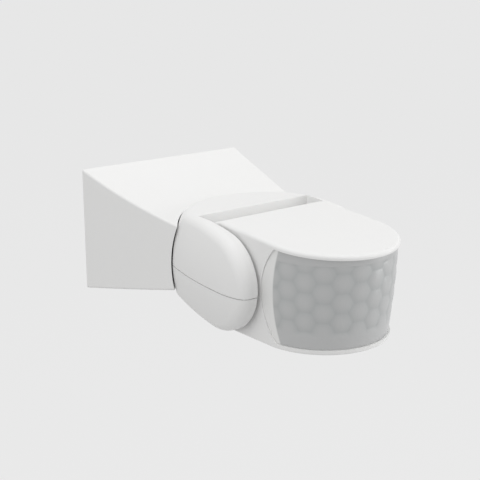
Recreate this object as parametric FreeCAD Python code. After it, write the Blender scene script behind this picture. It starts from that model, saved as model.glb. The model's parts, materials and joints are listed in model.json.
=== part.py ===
import FreeCAD, Part
import math
import os
from FreeCAD import Vector

# A wall-mounted infrared motion sensor, in millimetres.
# The origin is the centre of the wall face. +Y points into the wall, -Y out to the front, +Z up.
# The base wedge stands on the wall, the yoke swings left and right in the base's hollow front,
# and the sensor head tilts up and down between the two cheeks of the yoke.
os.makedirs("parts", exist_ok=True)

# Base wedge
WALL_WIDTH = 76.0
WALL_HEIGHT = 48.0
BASE_REACH = 52.0
BASE_FRONT_WIDTH = 58.0
BASE_SIDE_BOW = 0.9
BASE_TOP_FALL = 14.2
BASE_TOP_HOLLOW = 0.8
BASE_UNDERSIDE_RISE = 10.2
BASE_WALL = 2.2
BASE_EDGE_R = 0.8
SOCKET_WALL = 2.5
SOCKET_GAP = 0.5

# Axes: the pan axis ahead of the base's front, the tilt axis ahead of it, and their drop below
# the wall face's centre
PAN_AHEAD_OF_BASE = 16.0
TILT_AHEAD_OF_PAN = 5.2
AXIS_DROP = 4.8
PAN_LIMIT = 25.0

# Yoke: a barrel crowned almost like a ball at the rear, and swelling cheeks at the sides
BARREL_R = 36.2
BARREL_CROWN_R = 48.0
CHEEK_WITHIN_BARREL = 2.2
CHEEK_WIDEST_AHEAD = 7.3
CHEEK_SIDE_R = 125.0
CHEEK_NOSE_R = 25.0
CHEEK_CROWN_ABOVE_R = 56.0
CHEEK_CROWN_BELOW_R = 46.0
CHEEK_R = 17.8
CHEEK_EDGE_R = 4.2
YOKE_TOP = 14.9
YOKE_UNDERSIDE_SLOPE = 9.5
YOKE_WALL = 2.0
ARM_GAP_HALF = 26.1
SLOT_BEHIND_TILT = 14.9
SEAM_DROP = 1.5
SEAM_SLOPE = 2.1
SEAM_WIDTH = 0.3
SEAM_DEPTH = 1.0
YOKE_SCREW_X = 14.0
YOKE_SCREW_BEHIND_TILT = 26.2
YOKE_SCREW_SEAT_DROP = 5.0
YOKE_SCREW_LENGTH = 13.0

# Sensor head: a D in plan, rounded behind about the tilt axis
HEAD_HALF_WIDTH = 25.2
HEAD_DRAFT = 1.2
HEAD_REAR_R = 20.1
HEAD_EDGE_R = 1.2
HEAD_TOP_ABOVE_AXIS = 19.5
HEAD_TOP_SLOPE = 0.078
HEAD_BELOW_AXIS = 18.8
HEAD_WALL = 2.0
NOSE_AHEAD = 22.8
NOSE_LENGTH = 26.0
NOSE_DRAFT = 3.3
BAY_CLEARANCE = 1.2
FLOOR_THICKNESS = 1.6
FLOOR_EDGE_R = 0.6
HEAD_COLUMNS = [(-15.0, 3.1), (15.0, 3.1), (-19.5, -10.7), (19.5, -10.7)]
HEAD_SEAT_RISE = 0.6
HEAD_PAD_HEIGHT = 2.4
HEAD_PAD_R = 4.2
HEAD_SCREW_LENGTH = 12.0

# Lens band and its frame
LIP_THICKNESS = 1.6
LENS_REAR_AHEAD = 17.6
LENS_REAR_BOW = 6.9
LENS_SETBACK = 0.8
LENS_BULGE = 0.7
LENS_THICKNESS = 1.2
LENS_CLEARANCE = 0.1
FRAME_THICKNESS = 1.2
FRAME_MARGIN = 2.4

# Tilt bearings
PIN_R = 5.0
PIN_BORE_R = 2.6
PIN_FLANGE_R = 6.2
PIN_FLANGE_THICKNESS = 1.2
PIN_RUNNING_GAP = 0.06
SEAT_GAP = 0.1
BEARING_PROUD = 1.3
BEARING_R = 8.2
WASHER_THICKNESS = 0.8

# Pan clamp
STUD_R = 4.5
STUD_BORE_R = 2.6
STUD_FLANGE_R = 7.0
STUD_FLANGE_THICKNESS = 2.0
SHOE_THICKNESS = 2.0
SHOE_HALF_ANGLE = 12.0
SHOE_HALF_HEIGHT = 6.6
NUT_ACROSS_FLATS = 12.0
NUT_THICKNESS = 2.6
SLOT_PLAY = 0.3

# Wall plate, wiring and fasteners
PLATE_THICKNESS = 3.0
PLATE_PLAY = 0.2
FIXING_SPACING = 50.0
FIXING_SLOT_LENGTH = 9.0
FIXING_SLOT_R = 2.25
CABLE_HOLE_R = 7.0
CABLE_HOLE_DROP = 9.0
GROMMET_BORE_R = 3.6
GROMMET_FLANGE_R = 9.0
GROMMET_FLANGE_THICKNESS = 2.0
TERMINAL_WIDTH = 24.0
TERMINAL_HEIGHT = 11.0
TERMINAL_DEPTH = 11.0
TERMINAL_RAISE = 4.0
TERMINAL_POLES = 3
TERMINAL_WELL_R = 2.2
TERMINAL_WELL_DEPTH = 5.0
TERMINAL_WELL_DROP = 4.0
TERMINAL_SCREW_R = 2.0
TERMINAL_SCREW_LENGTH = 4.0
TERMINAL_SLOT_DEPTH = 0.8
TERMINAL_SLOT_WIDTH = 0.7
WIRE_HOLE_R = 1.9
WIRE_HOLE_DEPTH = 4.0
POLE_GROOVE_WIDTH = 1.0
POLE_GROOVE_DEPTH = 1.5
SCREW_R = 1.4
SCREW_HEAD_R = 2.6
SCREW_HEAD_HEIGHT = 1.6
SCREW_RECESS_R = 1.0
SCREW_RECESS_DEPTH = 1.0
SCREW_PLAY = 0.05
HEAD_PLAY = 0.2
COLUMN_R = 3.0
HOUSING_SCREW_X = 28.0
HOUSING_SCREW_DEPTH = 7.5
HOUSING_SCREW_LENGTH = 9.0
HOUSING_SEAT_RISE = 0.8
HOUSING_BOSS_R = 4.4
HOUSING_BOSS_HEIGHT = 2.8
SCREW_BLOCK_HEIGHT = 7.0

# Electronics and trimmer knobs
BOARD_THICKNESS = 1.6
BOARD_HALF_WIDTH = 16.2
BOARD_LENGTH = 30.0
BOARD_CORNER = 8.0
BOARD_RAISE = 8.5
KNOB_R = 4.0
KNOB_SPACING = 10.6
KNOB_AHEAD = 10.2
KNOB_STEM_R = 1.6
KNOB_RECESS = 0.3
KNOB_GAP = 0.3
TRIMMER_SIDE = 8.6
TRIMMER_HEIGHT = 5.4
SENSOR_R = 4.6
SENSOR_LENGTH = 4.4
SENSOR_FLANGE = 0.5
SENSOR_FLANGE_THICKNESS = 0.7
SENSOR_WINDOW_WIDTH = 4.6
SENSOR_WINDOW_HEIGHT = 3.6
SENSOR_WINDOW_DEPTH = 0.3
POST_R = 2.2
STAKE_R = 1.1
STAKE_PROUD = 0.8
POST_INSET = 3.0
RISER_BEHIND_NOSE = 6.0
RISER_WIDTH = 16.0
RISER_ABOVE_AXIS = 9.0
RISER_CLIP_WIDTH = 12.0
RISER_CLIP_THICKNESS = 1.2
RISER_CLIP_HEIGHT = 2.4
RISER_PIN_R = 0.5
RISER_PIN_HEIGHT = 3.0
RISER_PIN_XS = (-4.0, -1.5, 1.5, 4.0)
LAMP_X = 6.0
LAMP_FROM_EDGE = 4.0
LAMP_R = 1.5
LAMP_FLANGE = 0.4
LAMP_FLANGE_THICKNESS = 1.0
LAMP_HEIGHT = 4.5
RELAY_X = 4.25
RELAY_WIDTH = 14.5
RELAY_DEPTH = 12.0
RELAY_HEIGHT = 14.0
RELAY_EDGE_R = 0.8
RELAY_FROM_EDGE = 1.0
CAPACITOR_X = -9.5
CAPACITOR_FROM_EDGE = 9.0
CAPACITOR_R = 4.5
CAPACITOR_HEIGHT = 13.0
CAPACITOR_GROOVE = 0.4
CAPACITOR_GROOVE_RAISE = 1.6
CAPACITOR_GROOVE_WIDTH = 0.8
KNOB_SLOT_WIDTH = 1.0
KNOB_SLOT_DEPTH = 1.0
KNOB_NOTCH_WIDTH = 1.2
KNOB_NOTCH_DEPTH = 0.6
STEM_PLAY = 1.5

# A length greater than the whole product, for cutting tools
REACH = 200.0
AXIS_Z = -AXIS_DROP
SEAM_Z = AXIS_Z - SEAM_DROP
BEARING_LENGTH = YOKE_WALL + BEARING_PROUD
PAN_Y = -BASE_REACH - PAN_AHEAD_OF_BASE
TILT_Y = PAN_Y - TILT_AHEAD_OF_PAN
CHEEK_HALF_WIDTH = BARREL_R - CHEEK_WITHIN_BARREL
X_AXIS = Vector(1, 0, 0)
Y_AXIS = Vector(0, 1, 0)
Z_AXIS = Vector(0, 0, 1)


def box(x0, x1, y0, y1, z0, z1):
    return Part.makeBox(x1 - x0, y1 - y0, z1 - z0, Vector(x0, y0, z0))


def rod(radius, start, axis, length):
    """A round rod that starts at a point and runs along an axis."""
    return Part.makeCylinder(radius, length, start, axis)


def fuse(first, *others):
    return first.fuse(list(others)).removeSplitter()


def cut(shape, *tools):
    return shape.cut(list(tools))


def line(a, b):
    return Part.LineSegment(a, b).toShape()


def arc(a, middle, b):
    return Part.Arc(a, middle, b).toShape()


def rounded(shape, radius, references):
    """The shape with those of its edges rounded that lie on any of the reference edges."""
    found = []
    for edge in shape.Edges:
        span = edge.LastParameter - edge.FirstParameter
        points = [Part.Vertex(edge.valueAt(edge.FirstParameter + share * span)) for share in (0.2, 0.5, 0.8)]
        if any(all(point.distToShape(reference)[0] < 0.01 for point in points) for reference in references):
            found.append(edge)
    return shape.makeFillet(radius, found)


def slab_along_x(edges):
    """The solid that a closed outline in the YZ plane sweeps from side to side."""
    outline = Part.Face(Part.Wire(edges))
    outline.translate(Vector(-REACH / 2, 0, 0))
    return outline.extrude(Vector(REACH, 0, 0))


def yz(y, z):
    return Vector(0, y, z)


def point_on_circle(centre, radius, degrees):
    """A point of a circle in the YZ plane, with 0 degrees towards +Y and 90 upwards."""
    a = math.radians(degrees)
    return yz(centre.y + radius * math.cos(a), centre.z + radius * math.sin(a))


TILT_CENTRE = yz(TILT_Y, AXIS_Z)


# Base wedge: a side profile and a plan profile, crossed

def wedge(inset):
    """The base's outer block, or the space inside walls of a given thickness."""
    rear = REACH / 4 if inset else 0.0
    half_height = WALL_HEIGHT / 2
    top_rear = yz(0, half_height - inset)
    top_front = yz(-BASE_REACH, half_height - BASE_TOP_FALL - inset)
    top_middle = yz(-BASE_REACH / 2, (top_rear.z + top_front.z) / 2 - BASE_TOP_HOLLOW)
    low_rear = yz(0, inset - half_height)
    low_front = yz(-BASE_REACH, inset + BASE_UNDERSIDE_RISE - half_height)
    edges = [arc(top_rear, top_middle, top_front), line(top_front, low_front), line(low_front, low_rear)]
    if inset:
        edges.append(line(low_rear, yz(rear, low_rear.z)))
        edges.append(line(yz(rear, low_rear.z), yz(rear, top_rear.z)))
        edges.append(line(yz(rear, top_rear.z), top_rear))
    else:
        edges.append(line(low_rear, top_rear))
    profile = slab_along_x(edges)

    half_width = WALL_WIDTH / 2 - inset
    front_half = BASE_FRONT_WIDTH / 2 - inset
    bow_x = (half_width + front_half) / 2 + BASE_SIDE_BOW
    corners = [Vector(side * x, y, 0) for side in (1, -1)
               for x, y in ((half_width, 0), (bow_x, -BASE_REACH / 2), (front_half, -BASE_REACH))]
    right_rear, right_bow, right_front, left_rear, left_bow, left_front = corners
    plan = [arc(right_rear, right_bow, right_front), line(right_front, left_front),
            arc(left_front, left_bow, left_rear)]
    if inset:
        rise = Vector(0, rear, 0)
        plan.append(line(left_rear, left_rear + rise))
        plan.append(line(left_rear + rise, right_rear + rise))
        plan.append(line(right_rear + rise, right_rear))
    else:
        plan.append(line(left_rear, right_rear))
    footprint = Part.Face(Part.Wire(plan))
    footprint.translate(Vector(0, 0, -REACH / 2))
    return profile.common(footprint.extrude(Vector(0, 0, REACH)))


def crown(z, radius):
    """How far a crowned surface draws in at a height, from its fullest at the axes."""
    return radius - math.sqrt(radius ** 2 - (z - AXIS_Z) ** 2)


def barrel(radius):
    """The crowned barrel about the pan axis, as a solid of revolution."""
    half = BARREL_CROWN_R * 0.5
    top = Vector(radius - crown(AXIS_Z + half, BARREL_CROWN_R), PAN_Y, AXIS_Z + half)
    middle = Vector(radius, PAN_Y, AXIS_Z)
    low = Vector(top.x, PAN_Y, AXIS_Z - half)
    centre_top = Vector(0, PAN_Y, top.z)
    centre_low = Vector(0, PAN_Y, low.z)
    edges = [line(centre_low, low), arc(low, middle, top), line(top, centre_top), line(centre_top, centre_low)]
    return Part.Face(Part.Wire(edges)).revolve(centre_low, Z_AXIS, 360)


def underside_of_base(depth):
    return BASE_UNDERSIDE_RISE * depth / BASE_REACH - WALL_HEIGHT / 2


SOCKET_R = BARREL_R + SOCKET_GAP
STUD_START_R = SOCKET_R + SOCKET_WALL
HOUSING_BOSS_TOP = underside_of_base(HOUSING_SCREW_DEPTH) + BASE_WALL + HOUSING_BOSS_HEIGHT
HOUSING_SEAT = underside_of_base(HOUSING_SCREW_DEPTH) + BASE_WALL + HOUSING_SEAT_RISE


def housing_screw_places(z):
    return [Vector(side * HOUSING_SCREW_X, -HOUSING_SCREW_DEPTH, z) for side in (-1, 1)]


def make_base_housing():
    outer = wedge(0)
    inside = wedge(BASE_WALL)
    shell = cut(outer, cut(inside, barrel(STUD_START_R)))
    low = -WALL_HEIGHT / 2
    bosses = [rod(HOUSING_BOSS_R, at, Z_AXIS, HOUSING_BOSS_TOP - low).common(outer)
              for at in housing_screw_places(low)]
    shell = fuse(shell, *bosses)
    seats = [rod(SCREW_HEAD_R + HEAD_PLAY, at, Z_AXIS, HOUSING_SEAT - low + 1)
             for at in housing_screw_places(low - 1)]
    holes = [rod(SCREW_R + SCREW_PLAY, at, Z_AXIS, WALL_HEIGHT / 2) for at in housing_screw_places(low)]
    stud_hole = rod(STUD_R + SCREW_PLAY, yz(PAN_Y, AXIS_Z), Y_AXIS, STUD_START_R + 1)
    shell = cut(shell, barrel(SOCKET_R), stud_hole, *seats, *holes)
    return rounded(shell, BASE_EDGE_R, [edge for edge in outer.Edges if edge.BoundBox.YLength > BASE_REACH / 2])


def stadium_along_y(x, z, length, radius, y0, y1):
    """A slot with round ends, long in X, that runs through a plate in Y."""
    half = length / 2 - radius
    ends = [rod(radius, Vector(x + side * half, y0, z), Y_AXIS, y1 - y0) for side in (-1, 1)]
    return fuse(box(x - half, x + half, y0, y1, z - radius, z + radius), *ends)


def make_wall_plate():
    half_width = WALL_WIDTH / 2 - BASE_WALL - PLATE_PLAY - BASE_SIDE_BOW / 4
    half_height = WALL_HEIGHT / 2 - BASE_WALL - PLATE_PLAY
    slope_in = BASE_TOP_FALL / BASE_REACH * PLATE_THICKNESS + BASE_TOP_HOLLOW / 4
    rise_in = BASE_UNDERSIDE_RISE / BASE_REACH * PLATE_THICKNESS
    taper_in = (WALL_WIDTH - BASE_FRONT_WIDTH) / 2 / BASE_REACH * PLATE_THICKNESS
    plate = box(taper_in - half_width, half_width - taper_in, -PLATE_THICKNESS, 0,
                rise_in - half_height, half_height - slope_in)
    block_low = HOUSING_BOSS_TOP + SEAT_GAP
    block_front = -(HOUSING_SCREW_DEPTH + COLUMN_R)
    blocks = [box(at.x - COLUMN_R, at.x + COLUMN_R, block_front, -PLATE_THICKNESS,
                  at.z, at.z + SCREW_BLOCK_HEIGHT)
              for at in housing_screw_places(block_low)]
    plate = fuse(plate, *blocks)
    slots = [stadium_along_y(side * FIXING_SPACING / 2, 0, FIXING_SLOT_LENGTH, FIXING_SLOT_R,
                             -PLATE_THICKNESS - 1, 1) for side in (-1, 1)]
    cable_hole = rod(CABLE_HOLE_R, yz(-PLATE_THICKNESS - 1, -CABLE_HOLE_DROP), Y_AXIS, PLATE_THICKNESS + 2)
    pilots = [rod(SCREW_R + SCREW_PLAY, at, Z_AXIS, SCREW_BLOCK_HEIGHT + 2)
              for at in housing_screw_places(block_low - 1)]
    return cut(plate, cable_hole, *slots, *pilots)


def screw(start, axis, length):
    """A round-headed screw: its head's outer face is at the start, and it points along the axis."""
    head = rod(SCREW_HEAD_R, start, axis, SCREW_HEAD_HEIGHT)
    shank = rod(SCREW_R, start + axis * SCREW_HEAD_HEIGHT, axis, length)
    recess = rod(SCREW_RECESS_R, start, axis, SCREW_RECESS_DEPTH)
    return cut(fuse(head, shank), recess)


def make_housing_screws():
    start = HOUSING_SEAT - SCREW_HEAD_HEIGHT
    return Part.makeCompound([screw(at, Z_AXIS, HOUSING_SCREW_LENGTH) for at in housing_screw_places(start)])


def make_cable_grommet():
    at = yz(0, -CABLE_HOLE_DROP)
    body = rod(CABLE_HOLE_R - SCREW_PLAY, at, -Y_AXIS, PLATE_THICKNESS)
    flange = rod(GROMMET_FLANGE_R, at - Y_AXIS * PLATE_THICKNESS, -Y_AXIS, GROMMET_FLANGE_THICKNESS)
    bore = rod(GROMMET_BORE_R, at + Y_AXIS, -Y_AXIS, PLATE_THICKNESS + GROMMET_FLANGE_THICKNESS + 2)
    return cut(fuse(body, flange), bore)


TERMINAL_FACE_Y = -PLATE_THICKNESS - TERMINAL_DEPTH
POLE_PITCH = TERMINAL_WIDTH / TERMINAL_POLES
POLE_XS = [(n - (TERMINAL_POLES - 1) / 2) * POLE_PITCH for n in range(TERMINAL_POLES)]


def make_terminal_block():
    low = TERMINAL_RAISE
    high = TERMINAL_RAISE + TERMINAL_HEIGHT
    body = box(-TERMINAL_WIDTH / 2, TERMINAL_WIDTH / 2, TERMINAL_FACE_Y, -PLATE_THICKNESS, low, high)
    tools = []
    for x in POLE_XS:
        well = Vector(x, TERMINAL_FACE_Y - 1, high - TERMINAL_WELL_DROP)
        tools.append(rod(TERMINAL_WELL_R, well, Y_AXIS, TERMINAL_WELL_DEPTH + 1))
        wire_hole = Vector(x, TERMINAL_FACE_Y + WIRE_HOLE_DEPTH, low - 1)
        tools.append(rod(WIRE_HOLE_R, wire_hole, Z_AXIS, WIRE_HOLE_DEPTH + 1))
    for x in POLE_XS[1:]:
        start = x - POLE_PITCH / 2 - POLE_GROOVE_WIDTH / 2
        tools.append(box(start, start + POLE_GROOVE_WIDTH, TERMINAL_FACE_Y - 1,
                         TERMINAL_FACE_Y + POLE_GROOVE_DEPTH, low - 1, high + 1))
    return cut(body, *tools)


def make_terminal_screws():
    screws = []
    for x in POLE_XS:
        height = TERMINAL_RAISE + TERMINAL_HEIGHT - TERMINAL_WELL_DROP
        at = Vector(x, TERMINAL_FACE_Y + TERMINAL_WELL_DEPTH - TERMINAL_SCREW_LENGTH, height)
        body = rod(TERMINAL_SCREW_R, at, Y_AXIS, TERMINAL_SCREW_LENGTH)
        reach = TERMINAL_SCREW_R * 0.9
        slot = box(x - reach, x + reach, at.y - 1, at.y + TERMINAL_SLOT_DEPTH,
                   height - TERMINAL_SLOT_WIDTH / 2, height + TERMINAL_SLOT_WIDTH / 2)
        screws.append(cut(body, slot))
    return Part.makeCompound(screws)


# Pan clamp: a hollow stud through the socket, a curved shoe and a nut inside the barrel

SHOE_OUTER_R = BARREL_R - YOKE_WALL - 2 * SEAT_GAP
SHOE_INNER_R = SHOE_OUTER_R - SHOE_THICKNESS
NUT_START_R = SHOE_INNER_R * math.cos(math.radians(10)) - SEAT_GAP


def make_pan_stud():
    flange = rod(STUD_FLANGE_R, yz(PAN_Y + STUD_START_R + SEAT_GAP, AXIS_Z), Y_AXIS, STUD_FLANGE_THICKNESS)
    end_r = NUT_START_R - NUT_THICKNESS
    shank = rod(STUD_R, yz(PAN_Y + end_r, AXIS_Z), Y_AXIS, STUD_START_R + SEAT_GAP - end_r)
    bore = rod(STUD_BORE_R, yz(PAN_Y, AXIS_Z), Y_AXIS, STUD_START_R + 20)
    return cut(fuse(flange, shank), bore)


def ring_sector(outer_r, inner_r, half_angle, half_height):
    """Part of a ring about the pan axis, centred on its rear."""
    start = math.radians(90 - half_angle)
    outer = Part.makeCylinder(outer_r, 2 * half_height, Vector(0, PAN_Y, AXIS_Z - half_height),
                              Z_AXIS, 2 * half_angle)
    inner = Part.makeCylinder(inner_r, 2 * half_height + 2, Vector(0, PAN_Y, AXIS_Z - half_height - 1),
                              Z_AXIS, 360)
    outer.rotate(Vector(0, PAN_Y, 0), Z_AXIS, math.degrees(start))
    return cut(outer, inner)


def make_pan_shoe():
    shoe = ring_sector(SHOE_OUTER_R + 1, SHOE_INNER_R, SHOE_HALF_ANGLE, SHOE_HALF_HEIGHT)
    shoe = shoe.common(barrel(SHOE_OUTER_R))
    flat = box(-NUT_ACROSS_FLATS * 0.7, NUT_ACROSS_FLATS * 0.7, PAN_Y, PAN_Y + NUT_START_R + SEAT_GAP,
               AXIS_Z - REACH, AXIS_Z + REACH)
    hole = rod(STUD_R + SCREW_PLAY, yz(PAN_Y, AXIS_Z), Y_AXIS, BARREL_R)
    return cut(shoe, flat, hole)


def make_pan_nut():
    across_corners = NUT_ACROSS_FLATS / math.cos(math.radians(30))
    corners = [Vector(across_corners / 2 * math.cos(math.radians(60 * n)), PAN_Y + NUT_START_R,
                      AXIS_Z + across_corners / 2 * math.sin(math.radians(60 * n))) for n in range(7)]
    hexagon = Part.Face(Part.makePolygon(corners))
    nut = hexagon.extrude(Vector(0, -NUT_THICKNESS, 0))
    return cut(nut, rod(STUD_R + SCREW_PLAY, yz(PAN_Y, AXIS_Z), Y_AXIS, BARREL_R))


# Yoke: plan outlines at several heights, lofted and crossed with a side profile

CHEEK_WIDEST_Y = TILT_Y - CHEEK_WIDEST_AHEAD
YOKE_LEVELS = [AXIS_Z + step * 6.0 for step in (-4, -2, 0, 2, 4)]
YOKE_REAR_Y = PAN_Y + BARREL_R + 3
SLOT_REAR_Y = TILT_Y + SLOT_BEHIND_TILT


def yoke_outline(z, inset):
    """The yoke's outline at one height: barrel behind, swelling cheeks, open line in front."""
    rear_r = BARREL_R - crown(z, BARREL_CROWN_R) - inset
    draw_in = crown(z, CHEEK_CROWN_ABOVE_R if z > AXIS_Z else CHEEK_CROWN_BELOW_R) + inset
    side_r = CHEEK_SIDE_R - draw_in
    side_centre = Vector(CHEEK_HALF_WIDTH - CHEEK_SIDE_R, CHEEK_WIDEST_Y, z)
    nose_r = CHEEK_NOSE_R - draw_in
    nose_centre = Vector(CHEEK_HALF_WIDTH - CHEEK_NOSE_R, CHEEK_WIDEST_Y, z)
    pan_centre = Vector(0, PAN_Y, z)
    apart = side_centre - pan_centre
    gap = apart.Length
    along = (rear_r ** 2 - side_r ** 2 + gap ** 2) / (2 * gap)
    across = math.sqrt(rear_r ** 2 - along ** 2)
    direction = apart / gap
    join = pan_centre + direction * along + Vector(direction.y, -direction.x, 0) * across
    widest = Vector(CHEEK_HALF_WIDTH - draw_in, CHEEK_WIDEST_Y, z)
    turn = math.atan2(join.y - side_centre.y, join.x - side_centre.x) / 2
    side_middle = side_centre + Vector(math.cos(turn), math.sin(turn), 0) * side_r
    front_y = TILT_Y - CHEEK_R - 3
    front_turn = math.asin((front_y - nose_centre.y) / nose_r)
    front = nose_centre + Vector(math.cos(front_turn), math.sin(front_turn), 0) * nose_r
    nose_middle = nose_centre + Vector(math.cos(front_turn / 2), math.sin(front_turn / 2), 0) * nose_r

    def mirrored(point):
        return Vector(-point.x, point.y, point.z)

    rear = pan_centre + Vector(0, rear_r, 0)
    return Part.Wire([
        arc(mirrored(join), rear, join),
        arc(join, side_middle, widest),
        arc(widest, nose_middle, front),
        line(front, mirrored(front)),
        arc(mirrored(front), mirrored(nose_middle), mirrored(widest)),
        arc(mirrored(widest), mirrored(side_middle), mirrored(join)),
    ])


def between(centre, start, end, radius):
    """The middle of the shorter arc from start to end about a centre."""
    towards = (start - centre) + (end - centre)
    return centre + towards / towards.Length * radius


def yoke_profile(inset):
    """The yoke from the side: a flat top that curves down to round cheeks, and an underside
    that slopes up from them to the rear. Every line runs smoothly into the next."""
    radius = CHEEK_R - inset
    top_rear = yz(YOKE_REAR_Y, YOKE_TOP - inset)
    crest_start = yz(SLOT_REAR_Y, YOKE_TOP - inset)
    rise = crest_start.z - AXIS_Z
    behind = crest_start.y - TILT_Y
    crest_r = (behind ** 2 + rise ** 2 - radius ** 2) / (2 * (rise - radius))
    crest_centre = yz(crest_start.y, crest_start.z - crest_r)
    outwards = TILT_CENTRE - crest_centre
    crest_end = TILT_CENTRE + outwards / outwards.Length * radius

    lowest = point_on_circle(TILT_CENTRE, radius, YOKE_UNDERSIDE_SLOPE - 90)
    slope = math.tan(math.radians(YOKE_UNDERSIDE_SLOPE))
    low_rear = yz(YOKE_REAR_Y, lowest.z + slope * (YOKE_REAR_Y - lowest.y))
    front = point_on_circle(TILT_CENTRE, radius, 180)
    return slab_along_x([
        line(top_rear, crest_start),
        arc(crest_start, between(crest_centre, crest_start, crest_end, crest_r), crest_end),
        arc(crest_end, front, lowest),
        line(lowest, low_rear),
        line(low_rear, top_rear),
    ])


def yoke_block(inset):
    outlines = [yoke_outline(z, inset) for z in YOKE_LEVELS]
    return Part.makeLoft(outlines, True, False).common(yoke_profile(inset))


def head_bay(wall):
    """The space between the cheeks where the head swings, grown by a wall."""
    half = ARM_GAP_HALF + wall
    round_r = HEAD_REAR_R + BAY_CLEARANCE + wall
    swing = rod(round_r, Vector(-half, TILT_Y, AXIS_Z), X_AXIS, 2 * half)
    return fuse(swing, box(-half, half, -REACH, SLOT_REAR_Y + wall, -REACH, REACH))


def on_both_sides(x, length, radius):
    """Two rods along X, mirrored, from x outwards at the tilt axis."""
    right = rod(radius, Vector(x, TILT_Y, AXIS_Z), X_AXIS, length)
    left = rod(radius, Vector(-x, TILT_Y, AXIS_Z), -X_AXIS, length)
    return [right, left]


YOKE_SCREW_SEAT = AXIS_Z - YOKE_SCREW_SEAT_DROP


def yoke_screw_places(z):
    return [Vector(side * YOKE_SCREW_X, TILT_Y + YOKE_SCREW_BEHIND_TILT, z) for side in (-1, 1)]


def pan_slot():
    """The slot in the barrel wall that the stud slides in, with round ends."""
    radius = STUD_R + SLOT_PLAY
    inner_r = SHOE_INNER_R - 4
    tools = [ring_sector(SOCKET_R + 2, inner_r, PAN_LIMIT + 1, radius)]
    for side in (-1, 1):
        a = math.radians(90 + side * (PAN_LIMIT + 1))
        outward = Vector(math.cos(a), math.sin(a), 0)
        tools.append(rod(radius, Vector(0, PAN_Y, AXIS_Z) + outward * inner_r, outward, SOCKET_R + 2 - inner_r))
    return fuse(*tools)


def yoke_ridges(block):
    """The edges where the yoke's sides meet its top, front and underside."""
    skin = yoke_profile(0).Shells[0]
    ridges = []
    for edge in block.Edges:
        middle = Part.Vertex(edge.valueAt((edge.FirstParameter + edge.LastParameter) / 2))
        across = edge.BoundBox.YLength < 0.01 and edge.BoundBox.ZLength < 0.01
        if middle.distToShape(skin)[0] < 0.01 and not across:
            ridges.append(edge)
    return ridges


def ridge_rounding(ridges):
    """The rounding of the ridges, no wider than the level run behind each cheek's crest has room for."""
    level = [edge.Length for edge in ridges
             if edge.BoundBox.ZLength < 0.01 and edge.BoundBox.XMin * edge.BoundBox.XMax > 0]
    return min([CHEEK_EDGE_R] + [run * 0.52 for run in level])


def slab_at_seam(low, high):
    """A slab between two heights over the seam, which slopes down a little to the front."""
    slab = box(-REACH, REACH, -REACH, REACH, SEAM_Z + low, SEAM_Z + high)
    slab.rotate(Vector(0, TILT_Y, SEAM_Z), X_AXIS, SEAM_SLOPE)
    return slab


def make_yoke_body():
    """Both yoke shells in one piece, before they are parted at the seam."""
    outer = yoke_block(0)
    ridges = yoke_ridges(outer)
    outer = outer.makeFillet(ridge_rounding(ridges), ridges)
    hollow = cut(yoke_block(YOKE_WALL), head_bay(YOKE_WALL))
    body = cut(outer, head_bay(0), hollow)
    bearings = on_both_sides(ARM_GAP_HALF, BEARING_LENGTH, BEARING_R)
    columns = [rod(COLUMN_R, at, Z_AXIS, REACH) for at in yoke_screw_places(-REACH / 2)]
    added = Part.makeCompound(bearings + columns).common(cut(outer, head_bay(0)))
    body = fuse(body, added)
    bores = on_both_sides(ARM_GAP_HALF - 1, BEARING_LENGTH + 2, PIN_R + PIN_RUNNING_GAP)
    pilots = [rod(SCREW_R + SCREW_PLAY, at, Z_AXIS, YOKE_SCREW_LENGTH + 1)
              for at in yoke_screw_places(YOKE_SCREW_SEAT)]
    seats = [rod(SCREW_HEAD_R + HEAD_PLAY, at, Z_AXIS, YOKE_SCREW_SEAT + REACH)
             for at in yoke_screw_places(-REACH)]
    core = yoke_block(SEAM_DEPTH)
    seam = cut(slab_at_seam(-SEAM_WIDTH / 2, SEAM_WIDTH / 2), core)
    return cut(body, pan_slot(), seam, *bores, *pilots, *seats)


def part_at_seam(body):
    """The upper and the lower shell. The lower one's half bearings rise to the tilt axis."""
    half = ARM_GAP_HALF + BEARING_LENGTH + SEAT_GAP
    saddle = box(-half, half, TILT_Y - BEARING_R, TILT_Y + BEARING_R, SEAM_Z - 1, AXIS_Z)
    below = fuse(slab_at_seam(-REACH, 0), saddle)
    return cut(body, below), body.common(below)


def make_yoke_screws():
    start = YOKE_SCREW_SEAT - SCREW_HEAD_HEIGHT
    return Part.makeCompound([screw(at, Z_AXIS, YOKE_SCREW_LENGTH) for at in yoke_screw_places(start)])


WASHER_START = ARM_GAP_HALF - SEAT_GAP - WASHER_THICKNESS
PAD_FACE = WASHER_START - SEAT_GAP
PIN_OUTER = ARM_GAP_HALF + BEARING_LENGTH + SEAT_GAP
PIN_INNER = HEAD_HALF_WIDTH - HEAD_DRAFT - HEAD_WALL - 0.4


def make_friction_washer(side):
    """A washer between the head's pad and the cheek; side is -1 on the left and 1 on the right."""
    start = Vector(side * WASHER_START, TILT_Y, AXIS_Z)
    axis = X_AXIS * side
    return cut(rod(BEARING_R, start, axis, WASHER_THICKNESS),
               rod(PIN_R + SEAT_GAP, start - axis, axis, WASHER_THICKNESS + 2))


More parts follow.
